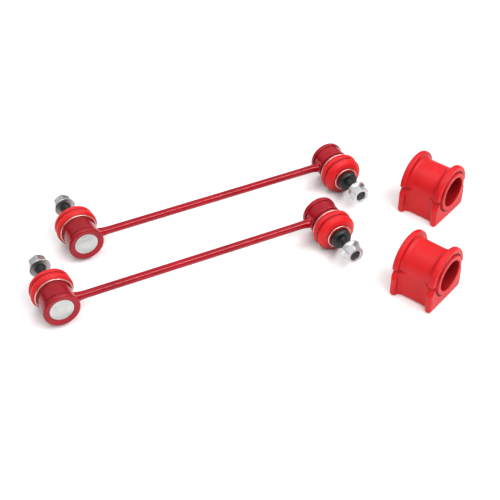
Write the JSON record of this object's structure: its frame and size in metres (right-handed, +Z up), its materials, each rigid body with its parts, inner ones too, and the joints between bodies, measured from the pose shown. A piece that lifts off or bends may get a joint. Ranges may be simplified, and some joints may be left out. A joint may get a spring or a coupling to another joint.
{
  "type": "sway bar link and bush kit",
  "caption": "Slim rod links with a ball-jointed threaded stud at each end, rubber boots and flange nuts, with D-shaped flanged split bushes for the bar.",
  "frame": {"origin": "middle of the kit's footprint, on the plane that every loose item rests on", "axes": "+Z up; +X along the links' rods, towards their right ends; +Y the way the left studs point"},
  "size_m": [0.4576, 0.29, 0.059],
  "materials": {
    "rod_paint": "semi-gloss candy red paint over steel",
    "boot_rubber": "smooth bright red rubber with a soft sheen",
    "bush_rubber": "smooth moulded red polyurethane, satin",
    "cap_steel": "bright pressed steel dome",
    "zinc_steel": "bright zinc plate",
    "black_steel": "satin black phosphate and oil",
    "ring_wire": "bright round wire",
    "seat_plastic": "natural acetal, slightly waxy"
  },
  "bodies": {
    "link_1": {"rod_1": "rod_paint", "housing_1_left": "rod_paint", "seat_1_left": "seat_plastic", "cap_1_left": "cap_steel", "housing_1_right": "rod_paint", "seat_1_right": "seat_plastic", "cap_1_right": "cap_steel"},
    "link_2": {"rod_2": "rod_paint", "housing_2_left": "rod_paint", "seat_2_left": "seat_plastic", "cap_2_left": "cap_steel", "housing_2_right": "rod_paint", "seat_2_right": "seat_plastic", "cap_2_right": "cap_steel"},
    "boot_base_1_left": {"boot_1_left": "boot_rubber", "base_ring_1_left": "ring_wire"},
    "boot_neck_1_left": {"neck_ring_1_left": "ring_wire"},
    "ball_stud_1_left": {"stud_1_left": "black_steel"},
    "flange_nut_1_left": {"nut_1_left": "zinc_steel"},
    "boot_base_1_right": {"boot_1_right": "boot_rubber", "base_ring_1_right": "ring_wire"},
    "boot_neck_1_right": {"neck_ring_1_right": "ring_wire"},
    "ball_stud_1_right": {"stud_1_right": "black_steel"},
    "flange_nut_1_right": {"nut_1_right": "zinc_steel"},
    "boot_base_2_left": {"boot_2_left": "boot_rubber", "base_ring_2_left": "ring_wire"},
    "boot_neck_2_left": {"neck_ring_2_left": "ring_wire"},
    "ball_stud_2_left": {"stud_2_left": "black_steel"},
    "flange_nut_2_left": {"nut_2_left": "zinc_steel"},
    "boot_base_2_right": {"boot_2_right": "boot_rubber", "base_ring_2_right": "ring_wire"},
    "boot_neck_2_right": {"neck_ring_2_right": "ring_wire"},
    "ball_stud_2_right": {"stud_2_right": "black_steel"},
    "flange_nut_2_right": {"nut_2_right": "zinc_steel"},
    "bar_bush_1": {"bush_1": "bush_rubber"},
    "bar_bush_2": {"bush_2": "bush_rubber"}
  },
  "joints": [
    {"name": "boot_turn_1_left", "type": "hinge", "parent": "link_1", "child": "boot_base_1_left", "pos_m": [-0.15582, 0.08048, 0.021], "axis": [0, 1, 0], "continuous": true},
    {"name": "stud_tilt_1_left", "type": "hinge", "parent": "boot_base_1_left", "child": "boot_neck_1_left", "pos_m": [-0.15582, 0.08048, 0.021], "axis": [1, 0, 0], "range_deg": [-20, 20], "deforming": ["boot_1_left"]},
    {"name": "stud_spin_1_left", "type": "hinge", "parent": "boot_neck_1_left", "child": "ball_stud_1_left", "pos_m": [-0.15582, 0.08048, 0.021], "axis": [0, 1, 0], "continuous": true},
    {"name": "nut_travel_1_left", "type": "slide", "parent": "ball_stud_1_left", "child": "flange_nut_1_left", "axis": [0, 1, 0], "range_m": [-0.0135, 0.025]},
    {"name": "boot_turn_1_right", "type": "hinge", "parent": "link_1", "child": "boot_base_1_right", "pos_m": [0.12418, 0.08048, 0.021], "axis": [0, -1, 0], "continuous": true},
    {"name": "stud_tilt_1_right", "type": "hinge", "parent": "boot_base_1_right", "child": "boot_neck_1_right", "pos_m": [0.12418, 0.08048, 0.021], "axis": [1, 0, 0], "range_deg": [-20, 20], "deforming": ["boot_1_right"]},
    {"name": "stud_spin_1_right", "type": "hinge", "parent": "boot_neck_1_right", "child": "ball_stud_1_right", "pos_m": [0.12418, 0.08048, 0.021], "axis": [0, -1, 0], "continuous": true},
    {"name": "nut_travel_1_right", "type": "slide", "parent": "ball_stud_1_right", "child": "flange_nut_1_right", "axis": [0, -1, 0], "range_m": [-0.0135, 0.025]},
    {"name": "boot_turn_2_left", "type": "hinge", "parent": "link_2", "child": "boot_base_2_left", "pos_m": [-0.20782, 0.00248, 0.021], "axis": [0, 1, 0], "continuous": true},
    {"name": "stud_tilt_2_left", "type": "hinge", "parent": "boot_base_2_left", "child": "boot_neck_2_left", "pos_m": [-0.20782, 0.00248, 0.021], "axis": [1, 0, 0], "range_deg": [-20, 20], "deforming": ["boot_2_left"]},
    {"name": "stud_spin_2_left", "type": "hinge", "parent": "boot_neck_2_left", "child": "ball_stud_2_left", "pos_m": [-0.20782, 0.00248, 0.021], "axis": [0, 1, 0], "continuous": true},
    {"name": "nut_travel_2_left", "type": "slide", "parent": "ball_stud_2_left", "child": "flange_nut_2_left", "axis": [0, 1, 0], "range_m": [-0.0135, 0.025]},
    {"name": "boot_turn_2_right", "type": "hinge", "parent": "link_2", "child": "boot_base_2_right", "pos_m": [0.07218, 0.00248, 0.021], "axis": [0, -1, 0], "continuous": true},
    {"name": "stud_tilt_2_right", "type": "hinge", "parent": "boot_base_2_right", "child": "boot_neck_2_right", "pos_m": [0.07218, 0.00248, 0.021], "axis": [1, 0, 0], "range_deg": [-20, 20], "deforming": ["boot_2_right"]},
    {"name": "stud_spin_2_right", "type": "hinge", "parent": "boot_neck_2_right", "child": "ball_stud_2_right", "pos_m": [0.07218, 0.00248, 0.021], "axis": [0, -1, 0], "continuous": true},
    {"name": "nut_travel_2_right", "type": "slide", "parent": "ball_stud_2_right", "child": "flange_nut_2_right", "axis": [0, -1, 0], "range_m": [-0.0135, 0.025]},
    {"name": "lift_link_2", "type": "slide", "parent": "link_1", "child": "link_2", "axis": [0, 0, 1], "range_m": [0, 0.1]},
    {"name": "lift_bush_1", "type": "slide", "parent": "link_1", "child": "bar_bush_1", "axis": [0, 0, 1], "range_m": [0, 0.1]},
    {"name": "lift_bush_2", "type": "slide", "parent": "link_1", "child": "bar_bush_2", "axis": [0, 0, 1], "range_m": [0, 0.1]}
  ]
}
